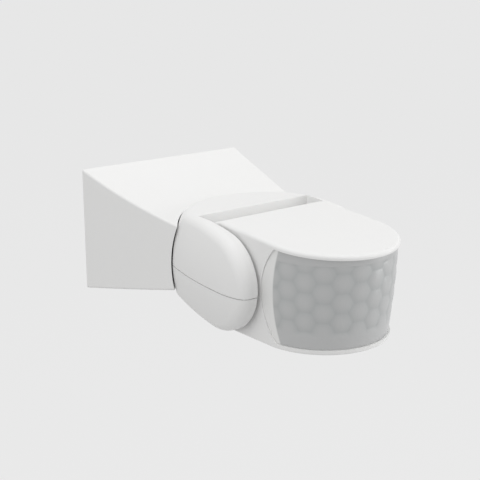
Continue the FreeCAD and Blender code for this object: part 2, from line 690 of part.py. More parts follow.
def make_tilt_pin(side):
    """A hollow pin that is fixed in the head's wall and turns in the cheek."""
    axis = X_AXIS * side
    start = Vector(side * (PIN_INNER - PIN_FLANGE_THICKNESS), TILT_Y, AXIS_Z)
    length = PIN_OUTER + PIN_FLANGE_THICKNESS - PIN_INNER + PIN_FLANGE_THICKNESS
    shank = rod(PIN_R, start, axis, length)
    inner_flange = rod(PIN_FLANGE_R, start, axis, PIN_FLANGE_THICKNESS)
    outer_flange = rod(PIN_FLANGE_R, start + axis * (length - PIN_FLANGE_THICKNESS), axis, PIN_FLANGE_THICKNESS)
    return cut(fuse(shank, inner_flange, outer_flange), rod(PIN_BORE_R, start - axis, axis, length + 2))


# Sensor head

HEAD_TOP_Z = AXIS_Z + HEAD_TOP_ABOVE_AXIS
HEAD_LOW_Z = AXIS_Z - HEAD_BELOW_AXIS
FLOOR_TOP_Z = HEAD_LOW_Z + FLOOR_THICKNESS
NOSE_Y = TILT_Y - NOSE_AHEAD
HEAD_FRONT_Y = NOSE_Y - NOSE_LENGTH


def draft_share(z):
    """0 at the head's top plane, 1 at its underside."""
    return (HEAD_TOP_Z - z) / (HEAD_TOP_Z - HEAD_LOW_Z)


def head_outline(z, inset):
    """The D-shaped outline of the head at one height."""
    half = HEAD_HALF_WIDTH - HEAD_DRAFT * draft_share(z) - inset
    tip_y = HEAD_FRONT_Y + NOSE_DRAFT * draft_share(z) + inset
    rear_y = TILT_Y + HEAD_REAR_R + 3
    right_rear = Vector(half, rear_y, z)
    right = Vector(half, NOSE_Y, z)
    tip = Vector(0, tip_y, z)
    left = Vector(-half, NOSE_Y, z)
    left_rear = Vector(-half, rear_y, z)
    return Part.Wire([line(right_rear, right), arc(right, tip, left), line(left, left_rear),
                      line(left_rear, right_rear)])


def top_z(y, inset):
    """The height of the head's sloping top, or of a plane below it."""
    return HEAD_TOP_Z + HEAD_TOP_SLOPE * (y - TILT_Y) - inset


def head_profile(inset, low):
    """The head from the side: sloping top, flat underside, back rounded about the tilt axis."""
    radius = HEAD_REAR_R - inset
    steep = math.atan(HEAD_TOP_SLOPE)
    height = (HEAD_TOP_ABOVE_AXIS - inset) * math.cos(steep)
    top_angle = 90 + math.degrees(steep) - math.degrees(math.acos(height / radius))
    rear_top = point_on_circle(TILT_CENTRE, radius, top_angle)
    low_angle = -math.degrees(math.asin(min(AXIS_Z - low, radius * 0.98) / radius))
    rear_low = point_on_circle(TILT_CENTRE, radius, low_angle)
    middle = point_on_circle(TILT_CENTRE, radius, (top_angle + low_angle) / 2)
    front_y = HEAD_FRONT_Y - 10
    front_top = yz(front_y, top_z(front_y, inset))
    edges = [line(rear_top, front_top), line(front_top, yz(front_y, low))]
    if rear_low.z - low > 1e-6:
        edges.append(line(yz(front_y, low), yz(rear_low.y, low)))
        edges.append(line(yz(rear_low.y, low), rear_low))
    else:
        edges.append(line(yz(front_y, low), rear_low))
    edges.append(arc(rear_low, middle, rear_top))
    return slab_along_x(edges)


def head_block(inset, low):
    loft = Part.makeLoft([head_outline(HEAD_LOW_Z - 8, inset), head_outline(HEAD_TOP_Z + 4, inset)], True, True)
    return loft.common(head_profile(inset, low))


def is_back_corner(edge):
    """Whether this is one of the two upright edges of the round back."""
    extent = edge.BoundBox
    return extent.ZLength > HEAD_REAR_R and extent.YMin > TILT_Y


def lens_opening(margin):
    """The window of the lens seen from the side; a margin makes it larger, a negative one smaller."""
    rear_y = TILT_Y - LENS_REAR_AHEAD + margin
    corner_y = rear_y - LENS_REAR_BOW
    front_y = HEAD_FRONT_Y - 20
    top_rear = yz(corner_y, top_z(corner_y, LIP_THICKNESS) + margin)
    top_front = yz(front_y, top_z(front_y, LIP_THICKNESS) + margin)
    low = FLOOR_TOP_Z - margin
    low_rear = yz(corner_y, low)
    middle = yz(rear_y, (top_rear.z + low) / 2)
    return slab_along_x([
        line(top_rear, top_front),
        line(top_front, yz(front_y, low)),
        line(yz(front_y, low), low_rear),
        arc(low_rear, middle, top_rear),
    ])


HEAD_SEAT_Z = FLOOR_TOP_Z + HEAD_SEAT_RISE
PAD_TOP_Z = FLOOR_TOP_Z + HEAD_PAD_HEIGHT


def head_column_places(z):
    return [Vector(x, TILT_Y + behind, z) for x, behind in HEAD_COLUMNS]


def make_head_cover():
    outer = head_block(0, FLOOR_TOP_Z)
    inside = head_block(HEAD_WALL, HEAD_LOW_Z - 4)
    shell = cut(outer, inside)
    columns = [rod(COLUMN_R, at, Z_AXIS, REACH).common(outer) for at in head_column_places(PAD_TOP_Z + SEAT_GAP)]
    pads = on_both_sides(PIN_INNER + SEAT_GAP, PAD_FACE - PIN_INNER - SEAT_GAP, BEARING_R)
    shell = fuse(shell, *columns, *pads)
    pilots = [rod(SCREW_R + SCREW_PLAY, at, Z_AXIS, HEAD_SCREW_LENGTH + 1)
              for at in head_column_places(PAD_TOP_Z - 1)]
    pin_holes = on_both_sides(PIN_INNER - 1, 8, PIN_R + SCREW_PLAY)
    shell = cut(shell, lens_opening(0), *pilots, *pin_holes)
    edges = [edge for edge in outer.Edges if edge.BoundBox.ZMin > FLOOR_TOP_Z + 1 or is_back_corner(edge)]
    return rounded(shell, HEAD_EDGE_R, edges)


KNOB_XS = [step * KNOB_SPACING for step in (-1, 0, 1)]
KNOB_Y = TILT_Y - KNOB_AHEAD
BOARD_LOW_Z = FLOOR_TOP_Z + BOARD_RAISE
BOARD_TOP_Z = BOARD_LOW_Z + BOARD_THICKNESS
BOARD_REAR_Y = TILT_Y - 0.2
BOARD_FRONT_Y = BOARD_REAR_Y - BOARD_LENGTH
POST_PLACES = [(side * (BOARD_HALF_WIDTH - POST_INSET), y) for side in (-1, 1)
               for y in (BOARD_REAR_Y - POST_INSET, BOARD_FRONT_Y + BOARD_CORNER)]


def make_head_floor():
    block = head_block(0, HEAD_LOW_Z)
    plate = block.common(box(-REACH, REACH, -REACH, REACH, HEAD_LOW_Z, FLOOR_TOP_Z))
    pads = [rod(HEAD_PAD_R, at, Z_AXIS, PAD_TOP_Z - HEAD_LOW_Z) for at in head_column_places(HEAD_LOW_Z)]
    inside = head_block(HEAD_WALL + SEAT_GAP, HEAD_LOW_Z)
    posts = [rod(POST_R, Vector(x, y, HEAD_LOW_Z), Z_AXIS, BOARD_LOW_Z - HEAD_LOW_Z)
             for x, y in POST_PLACES]
    stakes = [rod(STAKE_R, Vector(x, y, HEAD_LOW_Z), Z_AXIS, BOARD_TOP_Z + STAKE_PROUD - HEAD_LOW_Z)
              for x, y in POST_PLACES]
    plate = fuse(plate, Part.makeCompound(pads).common(inside), *posts, *stakes)
    knob_holes = [rod(KNOB_R + KNOB_GAP, Vector(x, KNOB_Y, HEAD_LOW_Z - 1), Z_AXIS, FLOOR_THICKNESS + 2)
                  for x in KNOB_XS]
    seats = [rod(SCREW_HEAD_R + HEAD_PLAY, at, Z_AXIS, HEAD_SEAT_Z - HEAD_LOW_Z + 1)
             for at in head_column_places(HEAD_LOW_Z - 1)]
    holes = [rod(SCREW_R + SCREW_PLAY, at, Z_AXIS, REACH) for at in head_column_places(HEAD_LOW_Z)]
    plate = cut(plate, *knob_holes, *seats, *holes)
    edges = [edge for edge in block.Edges if edge.BoundBox.ZMax < HEAD_LOW_Z + 0.01]
    return rounded(plate, FLOOR_EDGE_R, edges)


def make_head_screws():
    start = HEAD_SEAT_Z - SCREW_HEAD_HEIGHT
    return Part.makeCompound([screw(at, Z_AXIS, HEAD_SCREW_LENGTH) for at in head_column_places(start)])


LENS_MIDDLE_Z = (top_z(NOSE_Y, LIP_THICKNESS) + FLOOR_TOP_Z) / 2
LENS_HALF_HEIGHT = (top_z(NOSE_Y, LIP_THICKNESS) - FLOOR_TOP_Z) / 2


def lens_form(inset):
    """The lens band's surface as a solid, a little fuller at its middle."""
    sections = []
    for step in (-1.2, -0.6, 0, 0.6, 1.2):
        z = LENS_MIDDLE_Z + step * LENS_HALF_HEIGHT
        sections.append(head_outline(z, LENS_SETBACK + inset - LENS_BULGE * (1 - step ** 2)))
    return Part.makeLoft(sections, True, False)


def make_lens():
    band = cut(lens_form(0), lens_form(LENS_THICKNESS))
    return band.common(lens_opening(-LENS_CLEARANCE))


def make_lens_frame():
    """A frame behind the lens that presses its edge against the cover."""
    outer_inset = LENS_SETBACK + LENS_THICKNESS + SEAT_GAP
    inner_inset = outer_inset + FRAME_THICKNESS
    outlines = [[head_outline(z, inset) for z in (HEAD_LOW_Z - 8, HEAD_TOP_Z + 4)]
                for inset in (outer_inset, inner_inset)]
    outer, inner = [Part.makeLoft(pair, True, True) for pair in outlines]
    room = head_profile(HEAD_WALL + SEAT_GAP, FLOOR_TOP_Z + SEAT_GAP)
    ring = cut(outer, inner).common(room)
    return cut(ring.common(lens_opening(FRAME_MARGIN)), lens_opening(-FRAME_MARGIN))


# Electronics

def make_circuit_board():
    outline = [(-BOARD_HALF_WIDTH, BOARD_REAR_Y), (BOARD_HALF_WIDTH, BOARD_REAR_Y),
               (BOARD_HALF_WIDTH, BOARD_FRONT_Y + BOARD_CORNER), (BOARD_HALF_WIDTH - BOARD_CORNER, BOARD_FRONT_Y),
               (BOARD_CORNER - BOARD_HALF_WIDTH, BOARD_FRONT_Y), (-BOARD_HALF_WIDTH, BOARD_FRONT_Y + BOARD_CORNER)]
    points = [Vector(x, y, BOARD_LOW_Z) for x, y in outline + outline[:1]]
    board = Part.Face(Part.makePolygon(points)).extrude(Vector(0, 0, BOARD_THICKNESS))
    holes = [rod(STAKE_R + SEAT_GAP, Vector(x, y, BOARD_LOW_Z - 1), Z_AXIS, BOARD_THICKNESS + 2)
             for x, y in POST_PLACES]
    return cut(board, *holes)


RISER_Y = NOSE_Y + RISER_BEHIND_NOSE


def make_sensor_riser():
    half = RISER_WIDTH / 2
    back = RISER_Y + BOARD_THICKNESS
    board = box(-half, half, RISER_Y, back, BOARD_TOP_Z, AXIS_Z + RISER_ABOVE_AXIS)
    pin_y = back + RISER_CLIP_THICKNESS / 2
    pins = [rod(RISER_PIN_R, Vector(x, pin_y, BOARD_TOP_Z), Z_AXIS, RISER_PIN_HEIGHT)
            for x in RISER_PIN_XS]
    clip_half = RISER_CLIP_WIDTH / 2
    clip = box(-clip_half, clip_half, back, back + RISER_CLIP_THICKNESS,
               BOARD_TOP_Z, BOARD_TOP_Z + RISER_CLIP_HEIGHT)
    return fuse(board, clip, *pins)


def make_pyro_sensor():
    """A round metal can with a flange and a window, looking forward through the lens."""
    flange = rod(SENSOR_R + SENSOR_FLANGE, yz(RISER_Y, AXIS_Z), -Y_AXIS, SENSOR_FLANGE_THICKNESS)
    can = rod(SENSOR_R, yz(RISER_Y, AXIS_Z), -Y_AXIS, SENSOR_LENGTH)
    face_y = RISER_Y - SENSOR_LENGTH
    half_width = SENSOR_WINDOW_WIDTH / 2
    half_height = SENSOR_WINDOW_HEIGHT / 2
    window = box(-half_width, half_width, face_y - 1, face_y + SENSOR_WINDOW_DEPTH,
                 AXIS_Z - half_height, AXIS_Z + half_height)
    return cut(fuse(flange, can), window)


def make_status_lamp():
    at = Vector(LAMP_X, BOARD_FRONT_Y + LAMP_FROM_EDGE, BOARD_TOP_Z)
    flange = rod(LAMP_R + LAMP_FLANGE, at, Z_AXIS, LAMP_FLANGE_THICKNESS)
    dome = Part.makeSphere(LAMP_R, at + Z_AXIS * LAMP_HEIGHT)
    return fuse(flange, rod(LAMP_R, at, Z_AXIS, LAMP_HEIGHT), dome)


def make_relay():
    rear_y = BOARD_REAR_Y - RELAY_FROM_EDGE
    body = box(RELAY_X - RELAY_WIDTH / 2, RELAY_X + RELAY_WIDTH / 2, rear_y - RELAY_DEPTH, rear_y,
               BOARD_TOP_Z, BOARD_TOP_Z + RELAY_HEIGHT)
    upright = [edge for edge in body.Edges if edge.BoundBox.ZLength > RELAY_HEIGHT / 2]
    return body.makeFillet(RELAY_EDGE_R, upright)


def make_capacitor():
    at = Vector(CAPACITOR_X, BOARD_REAR_Y - CAPACITOR_FROM_EDGE, BOARD_TOP_Z)
    can = rod(CAPACITOR_R, at, Z_AXIS, CAPACITOR_HEIGHT)
    groove_at = at + Z_AXIS * CAPACITOR_GROOVE_RAISE
    groove = cut(rod(CAPACITOR_R + 1, groove_at, Z_AXIS, CAPACITOR_GROOVE_WIDTH),
                 rod(CAPACITOR_R - CAPACITOR_GROOVE, groove_at - Z_AXIS, Z_AXIS, CAPACITOR_GROOVE_WIDTH + 2))
    return cut(can, groove)


def make_trimmers():
    half = TRIMMER_SIDE / 2
    bodies = []
    for x in KNOB_XS:
        body = box(x - half, x + half, KNOB_Y - half, KNOB_Y + half, BOARD_LOW_Z - TRIMMER_HEIGHT, BOARD_LOW_Z)
        bore = rod(KNOB_STEM_R + PIN_RUNNING_GAP, Vector(x, KNOB_Y, BOARD_LOW_Z - TRIMMER_HEIGHT - 1), Z_AXIS,
                   TRIMMER_HEIGHT)
        bodies.append(cut(body, bore))
    return Part.makeCompound(bodies)


def make_knob(x):
    """A trimmer knob: a disc with a screwdriver slot and a pointer notch, on a stem."""
    low = HEAD_LOW_Z + KNOB_RECESS
    trimmer_low = BOARD_LOW_Z - TRIMMER_HEIGHT
    disc = rod(KNOB_R, Vector(x, KNOB_Y, low), Z_AXIS, trimmer_low - 3 * SEAT_GAP - low)
    stem = rod(KNOB_STEM_R, Vector(x, KNOB_Y, low), Z_AXIS, BOARD_LOW_Z - STEM_PLAY - low)
    reach = KNOB_R * 0.7
    slot = box(x - reach, x + reach, KNOB_Y - KNOB_SLOT_WIDTH / 2, KNOB_Y + KNOB_SLOT_WIDTH / 2,
               low - 1, low + KNOB_SLOT_DEPTH)
    notch = box(x - KNOB_NOTCH_WIDTH / 2, x + KNOB_NOTCH_WIDTH / 2, KNOB_Y - KNOB_R - 1, KNOB_Y - reach,
                low - 1, low + KNOB_NOTCH_DEPTH)
    return cut(fuse(disc, stem), slot, notch)


def main():
    upper, lower = part_at_seam(make_yoke_body())
    nodes = {
        "base_housing": make_base_housing(),
        "wall_plate": make_wall_plate(),
        "housing_screws": make_housing_screws(),
        "cable_grommet": make_cable_grommet(),
        "terminal_block": make_terminal_block(),
        "terminal_screws": make_terminal_screws(),
        "pan_stud": make_pan_stud(),
        "pan_shoe": make_pan_shoe(),
        "pan_nut": make_pan_nut(),
        "yoke_upper_shell": upper,
        "yoke_lower_shell": lower,
        "yoke_screws": make_yoke_screws(),
        "left_friction_washer": make_friction_washer(-1),
        "right_friction_washer": make_friction_washer(1),
        "left_tilt_pin": make_tilt_pin(-1),
        "right_tilt_pin": make_tilt_pin(1),
        "head_cover": make_head_cover(),
        "head_floor": make_head_floor(),
        "head_screws": make_head_screws(),
        "segmented_lens": make_lens(),
        "lens_frame": make_lens_frame(),
        "circuit_board": make_circuit_board(),
        "sensor_riser": make_sensor_riser(),
        "pyro_sensor": make_pyro_sensor(),
        "status_lamp": make_status_lamp(),
        "relay": make_relay(),
        "capacitor": make_capacitor(),
        "trimmers": make_trimmers(),
    }
    for name, x in zip(("time_knob", "light_knob", "range_knob"), KNOB_XS):
        nodes[name] = make_knob(x)
    for name, shape in nodes.items():
        shape.exportStep("parts/" + name + ".step")


main()
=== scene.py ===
import json
import math

import bmesh
import bpy
from mathutils import Matrix, Vector


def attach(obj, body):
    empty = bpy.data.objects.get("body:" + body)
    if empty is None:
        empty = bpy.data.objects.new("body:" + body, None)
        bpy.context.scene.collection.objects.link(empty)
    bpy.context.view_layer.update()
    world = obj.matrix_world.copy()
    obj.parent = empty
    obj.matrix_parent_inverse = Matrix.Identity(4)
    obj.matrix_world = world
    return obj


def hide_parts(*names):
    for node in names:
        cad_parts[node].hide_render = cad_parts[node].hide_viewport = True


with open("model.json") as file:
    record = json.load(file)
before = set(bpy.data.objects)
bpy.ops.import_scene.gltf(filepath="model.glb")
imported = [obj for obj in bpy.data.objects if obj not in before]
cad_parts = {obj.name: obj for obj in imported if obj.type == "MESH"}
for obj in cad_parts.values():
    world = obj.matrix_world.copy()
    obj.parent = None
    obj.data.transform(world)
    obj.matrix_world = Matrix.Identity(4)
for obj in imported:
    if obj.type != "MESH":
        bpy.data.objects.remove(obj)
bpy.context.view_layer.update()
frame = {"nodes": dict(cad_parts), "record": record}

MM = 0.001

# Sizes and places are in millimetres. The wall face is at y = 0, z is up and the sensor looks along -y.

# The head narrows downwards from its sloping top, whose lip lies over the lens.
TILT_Y = -73.2
HEAD_HALF_WIDTH = 25.2
HEAD_DRAFT = 1.2
HEAD_TOP_Z = 14.7
HEAD_TOP_SLOPE = 0.078
HEAD_LOW_Z = -23.6
HEAD_FRONT_Y = -122.0
FLOOR_TOP_Z = -22.0
NOSE_Y = -96.0
NOSE_DRAFT = 3.3
LIP_THICKNESS = 1.6

# The lens band under the cover's lip, and how finely its skin is divided.
LENS_SETBACK = 0.8
LENS_BULGE = 0.7
LENS_THICKNESS = 1.2
LENS_REAR_Y = -90.9
LENS_CORNER_Y = -97.7
LENS_LOW_Z = -21.9
LENS_HEIGHT = 32
LENS_TOP_GAP = 0.1
LENS_COLUMNS = 264
LENS_ROWS = 84
LENS_PASSES = 5

# The facets stand in staggered columns round an upright axis. The reach to a facet's corner is a share of its
# height, and the depth at its middle is a share of the depth of the groove round it.
FACET_AXIS_Y = -95.7
FACET_ARC_R = 24.5
FACET_WIDTH = 6.3
FACET_HEIGHT = 6.9
FACET_START_Z = -5.4
FACET_CORNER = 0.58
FACET_DEPTH = 0.3
FACET_MIDDLE_SHARE = 0.14
FIELD_LOW_Z = -17.6
FIELD_HIGH_Z = 7.6
FIELD_BORDER = 0.4
FIELD_LOW_BORDER = 2.0

# The plain rim behind the facets starts on a line that bows forwards above and below its middle.
RIM_START_Y = -97.0
RIM_MIDDLE_Z = -5.3
RIM_BOW = 0.009
RIM_BLEND = 0.5556

# The screws. Each place is the middle of the outer face of a head.
SCREW_HEAD_R = 2.6
SCREW_HEAD_HEIGHT = 1.6
SCREW_HEAD_SIDES = 48
SCREW_CHAMFER = 0.3
SHANK_R = 1.4
SHANK_BURIED = 0.1
RECESS_HALF_WIDTH = 0.34
RECESS_REACH = 1.35
RECESS_DEPTH = 0.95
HOUSING_SCREWS = [(-28, -7.5, -21.13), (28, -7.5, -21.13)]
YOKE_SCREWS = [(-14, -47, -11.4), (14, -47, -11.4)]
HEAD_SCREWS = [(-15, -70.1, -23.0), (15, -70.1, -23.0), (-19.5, -83.9, -23.0), (19.5, -83.9, -23.0)]

# The three dials under the head. Their slot and arrow head are outlines round the dial's middle.
KNOB_XS = (-10.6, 0.0, 10.6)
KNOB_Y = -83.4
KNOB_LOW_Z = -23.3
KNOB_HIGH_Z = -19.2
KNOB_R = 4.0
KNOB_CHAMFER = 0.25
GRIP_DEPTH = 0.22
GRIP_GROOVES = 26
GRIP_STEPS = 6
DIAL_SLOT = [(0.45, -2.0), (0.45, 2.6), (-0.45, 2.6), (-0.45, -2.0)]
DIAL_ARROW = [(0, -3.45), (0.8, -2.35), (-0.8, -2.35)]
DIAL_PIT_DEPTH = 0.9
STEM_R = 1.6
STEM_LENGTH = 4.2
STEM_BURIED = 0.2

# The ticks and words round the dials. The ticks' sweep is in radians.
TICK_RING_R = 4.92
TICK_SWEEP = 4.71
TICK_COUNT = 11
TICK_LENGTH = 0.5
TICK_WIDTH = 0.26
TICK_HEIGHT = 0.3
WORD_AHEAD = 6.9
WORD_HEIGHT = 2.0
SIGN_ASIDE = 3.6
SIGN_BEHIND = 5.1
SIGN_HEIGHT = 2.4
MARK_RAISE = 0.15
MARK_CURVE_STEPS = 3

# How narrow a sunk pit is at its bottom, the sides of a round rod, and how near points are before they join.
PIT_TAPER = 0.88
ROD_SIDES = 24
WELD = 0.0001

# The angles over which creases stay, in degrees.
LENS_CREASE = 40
SCREW_CREASE = 35
DIAL_CREASE = 30

# How fine the noises in the finishes are, in waves per metre, and how far they reach.
TONE_SCALE = 38
AGED_SHARE = 0.975
GLOSS_SCALE = 240
GLOSS_SPREAD = 0.08
WEAR_SCALE = 900
WEAR_SPREAD = 0.22
TARNISH_SCALE = 120
TARNISHED_SHARE = 0.86
HAZE_SCALE = 300
HAZE_SPREAD = 0.06


class Sock:
    """An output socket, on which arithmetic adds Math nodes."""

    def __init__(self, nodes, socket):
        self.nodes = nodes
        self.socket = socket

    def maths(self, operation, *values, clamp=False):
        settings = {"operation": operation, "use_clamp": clamp}
        node = self.nodes.node("ShaderNodeMath", settings, dict(enumerate(values)))
        return Sock(self.nodes, node.outputs[0])

    def __add__(self, other):
        return self.maths("ADD", self, other)

    def __sub__(self, other):
        return self.maths("SUBTRACT", self, other)

    def __rsub__(self, other):
        return self.maths("SUBTRACT", other, self)

    def __mul__(self, other):
        return self.maths("MULTIPLY", self, other)

    def __truediv__(self, other):
        return self.maths("DIVIDE", self, other)

    def __rtruediv__(self, other):
        return self.maths("DIVIDE", other, self)

    __radd__ = __add__
    __rmul__ = __mul__

    def clamped(self):
        return self.maths("ADD", self, 0.0, clamp=True)

    def share_of(self, whole):
        """This value over a whole one, kept between 0 and 1."""
        return self.maths("DIVIDE", self, whole, clamp=True)

    def rounded(self):
        return self.maths("ROUND", self)

    def least(self, other):
        return self.maths("MINIMUM", self, other)

    def turn_from(self, other):
        """The angle whose sine goes with this value and whose cosine goes with the other."""
        return self.maths("ARCTAN2", self, other)


class Nodes:
    """A node tree that is filled by one method."""

    def __init__(self, tree):
        self.tree = tree

    def node(self, kind, settings=None, sockets=None):
        """Add a node: its settings first, then a value or a link for each socket that is given."""
        made = self.tree.nodes.new(kind)
        for key, value in (settings or {}).items():
            setattr(made, key, value)
        for key, value in (sockets or {}).items():
            self.feed(made.inputs[key], value)
        return made

    def feed(self, target, value):
        """Give a socket a plain value, or link it to an output or to the first output of a node."""
        if isinstance(value, Sock):
            value = value.socket
        if isinstance(value, bpy.types.Node):
            value = value.outputs[0]
        if isinstance(value, bpy.types.NodeSocket):
            self.tree.links.new(value, target)
        else:
            target.default_value = value

    def axes(self, place):
        """The x, y and z of a place."""
        split = self.node("ShaderNodeSeparateXYZ", {}, {0: place})
        return [Sock(self, split.outputs[axis]) for axis in "XYZ"]


class Finish(Nodes):
    """A Principled material, and what varies over its surface."""

    def __init__(self, name, color, roughness, metallic=0.0, specular=0.5):
        self.material = bpy.data.materials.new(name)
        self.material.use_nodes = True
        super().__init__(self.material.node_tree)
        self.shader = self.tree.nodes["Principled BSDF"]
        self.color = (*color, 1)
        self.roughness = roughness
        self.set("Base Color", self.color)
        self.set("Roughness", roughness)
        self.set("Metallic", metallic)
        self.set("Specular IOR Level", specular)

    def set(self, key, value):
        self.feed(self.shader.inputs[key], value)

    def place(self):
        """Where a point of the surface lies on the object."""
        return self.node("ShaderNodeTexCoord").outputs["Object"]

    def noise(self, scale, detail=2):
        sockets = {"Vector": self.place(), "Scale": scale, "Detail": detail}
        return Sock(self, self.node("ShaderNodeTexNoise", {}, sockets).outputs["Fac"])

    def tint(self, share, other):
        """Run the colour so far to another one by a share."""
        ends = {"Factor": share, "A": self.color, "B": (*other, 1)}
        self.color = self.node("ShaderNodeMix", {"data_type": "RGBA"}, ends).outputs["Result"]
        self.set("Base Color", self.color)

    def uneven(self, share, spread):
        """Let the roughness vary by a share about its own value."""
        self.set("Roughness", (self.roughness + (share - 0.5) * spread).clamped())

    def bump(self, height, depth):
        """Raise the surface by a height from 0 to 1, at most by a depth in millimetres."""
        sockets = {"Strength": 1, "Distance": depth * MM, "Height": height}
        self.set("Normal", self.node("ShaderNodeBump", {}, sockets))


class Tree(Nodes):
    """A Geometry Nodes tree with named inputs, which ends in real geometry in one finish."""

    kinds = {float: "Float", int: "Int", bpy.types.Object: "Object", bpy.types.Material: "Material"}

    def __init__(self, name, values):
        super().__init__(bpy.data.node_groups.new(name, "GeometryNodeTree"))
        self.values = values
        self.socket("Geometry", "INPUT", "Geometry")
        for label, value in values.items():
            self.socket(label, "INPUT", self.kinds[type(value)])
        self.socket("Geometry", "OUTPUT", "Geometry")
        self.inputs = self.node("NodeGroupInput")

    def socket(self, label, way, kind):
        self.tree.interface.new_socket(label, in_out=way, socket_type="NodeSocket" + kind)

    def given(self, label):
        return Sock(self, self.inputs.outputs[label])

    def end(self, geometry):
        """Close the tree with real geometry in its material."""
        real = self.node("GeometryNodeRealizeInstances", {}, {"Geometry": geometry})
        sockets = {"Geometry": real, "Material": self.given("Material")}
        self.node("NodeGroupOutput", {}, {"Geometry": self.node("GeometryNodeSetMaterial", {}, sockets)})

    def bake(self, piece):
        """Run the tree on a piece and keep the result as its plain mesh."""
        modifier = piece.modifiers.new(self.tree.name, "NODES")
        modifier.node_group = self.tree
        for socket in self.tree.interface.items_tree:
            if socket.in_out == "INPUT" and socket.name in self.values:
                modifier[socket.identifier] = self.values[socket.name]
        bpy.context.view_layer.update()
        built = piece.evaluated_get(bpy.context.evaluated_depsgraph_get())
        mesh = bpy.data.meshes.new_from_object(built)
        piece.modifiers.remove(modifier)
        piece.data = mesh
        return piece


def groove_share(x, y, z, width, height, start):
    """From 0 at the middle of a facet to 1 in the groove round it, at a point of the lens."""
    column = x.turn_from(FACET_AXIS_Y * MM - y) * (FACET_ARC_R * MM) / width
    row = (z - start) / height

    def off_middle(shift):
        """The squared way to the nearest facet of the even columns, or with shift 1 of the staggered ones."""
        nearest_column = ((column - shift) * 0.5).rounded() * 2 + shift
        nearest_row = (row - shift * 0.5).rounded() + shift * 0.5
        across = (column - nearest_column) * width
        up = (row - nearest_row) * height
        return across * across + up * up

    corner = FACET_CORNER * height
    return (off_middle(0).least(off_middle(1)) / (corner * corner)).least(1.0)


def into_rim(y, z, middle, bow):
    """How far a point of the lens lies behind the bowed line where its plain rim starts."""
    off = z - middle
    return y - RIM_START_Y * MM + off * off * bow


def plastic(name, color, roughness, grain=2600, grain_depth=0.01, aged=None, specular=0.5):
    """Moulded plastic: a fine eroded grain, and a slow drift in tone and gloss."""
    finish = Finish(name, color, roughness, specular=specular)
    finish.tint(finish.noise(TONE_SCALE, detail=3), aged or tuple(c * AGED_SHARE for c in color))
    finish.uneven(finish.noise(GLOSS_SCALE), GLOSS_SPREAD)
    finish.bump(finish.noise(grain), grain_depth)
    return finish.material


def metal(name, color, roughness):
    """Plated metal with fine wear in its gloss."""
    finish = Finish(name, color, roughness, metallic=1.0)
    finish.uneven(finish.noise(WEAR_SCALE, detail=3), WEAR_SPREAD)
    finish.tint(finish.noise(TARNISH_SCALE), tuple(c * TARNISHED_SHARE for c in color))
    return finish.material


def milky_lens():
    """Milky lens plastic: with painted shade in the grooves between the facets, white on the plain rim."""
    finish = Finish("milky_lens", (0.51, 0.515, 0.515), 0.3, specular=1.0)
    finish.uneven(finish.noise(HAZE_SCALE), HAZE_SPREAD)
    x, y, z = finish.axes(finish.place())
    groove = groove_share(x, y, z, FACET_WIDTH * MM, FACET_HEIGHT * MM, FACET_START_Z * MM)
    above = (z - FIELD_LOW_Z * MM).share_of(FIELD_LOW_BORDER * MM)
    below = (FIELD_HIGH_Z * MM - z).share_of(FIELD_BORDER * MM)
    rim = into_rim(y, z, RIM_MIDDLE_Z * MM, RIM_BOW / MM).share_of(RIM_BLEND * MM)
    # Painted shade: the lens colour is darkened in the grooves round the facets, within the faceted field.
    finish.tint(groove * above * below, (0.43, 0.445, 0.445))
    finish.tint(rim, (0.83, 0.83, 0.82))
    return finish.material


finishes = {
    "housing_plastic": plastic(
        "white_housing", (0.87, 0.87, 0.865), 0.5, aged=(0.86, 0.858, 0.85), specular=0.35),
    "inner_plastic": plastic("inner_white", (0.74, 0.74, 0.72), 0.5),
    "knob_plastic": plastic("dark_knob", (0.055, 0.06, 0.065), 0.34),
    "terminal_plastic": plastic("terminal_green", (0.16, 0.27, 0.2), 0.38),
    "relay_plastic": plastic("relay_blue", (0.03, 0.045, 0.1), 0.3),
    "sleeve_plastic": plastic("capacitor_sleeve", (0.02, 0.022, 0.03), 0.26),
    "lamp_plastic": plastic("lamp_red", (0.6, 0.03, 0.025), 0.15),
    "board": plastic("board_green", (0.02, 0.11, 0.045), 0.28),
    "rubber": plastic("black_rubber", (0.025, 0.025, 0.026), 0.75, grain=1500, grain_depth=0.03),
    "zinc_steel": metal("zinc_steel", (0.62, 0.63, 0.64), 0.32),
    "nickel_can": metal("nickel_can", (0.66, 0.64, 0.6), 0.2),
    "lens_plastic": milky_lens(),
}


def finish_solids():
    """Give each solid of the frame the finish of its own slot."""
    slots = {part["node"]: part["material_slot"] for part in frame["record"]["subparts"]}
    for name, solid in frame["nodes"].items():
        solid.data.materials.clear()
        solid.data.materials.append(finishes[slots[name]])


def new_piece(name, data):
    piece = bpy.data.objects.new(name, data)
    bpy.context.scene.collection.objects.link(piece)
    return piece


def points_piece(name, places):
    """A piece of loose points, for a tree to build on."""
    mesh = bpy.data.meshes.new(name)
    mesh.from_pydata([Vector(place) * MM for place in places], [], [])
    return new_piece(name, mesh)


def solid_piece(name, bm, crease):
    """A piece of closed solids, with its faces turned outwards."""
    bmesh.ops.remove_doubles(bm, verts=bm.verts, dist=WELD * MM)
    bmesh.ops.recalc_face_normals(bm, faces=bm.faces)
    mesh = bpy.data.meshes.new(name)
    bm.to_mesh(mesh)
    bm.free()
    soften(mesh, crease)
    return new_piece(name, mesh)


def soften(mesh, crease):
    """Smooth shading, with creases kept where faces meet over an angle."""
    mesh.shade_smooth()
    mesh.set_sharp_from_angle(angle=math.radians(crease))


def loop_at(bm, points, z):
    """The points of an outline, added at a height."""
    return [bm.verts.new((x * MM, y * MM, z * MM)) for x, y in points]


def wall_between(bm, low, high):
    """Faces between two loops with the same number of points."""
    count = len(low)
    for n in range(count):
        m = (n + 1) % count
        bm.faces.new((low[n], low[m], high[m], high[n]))


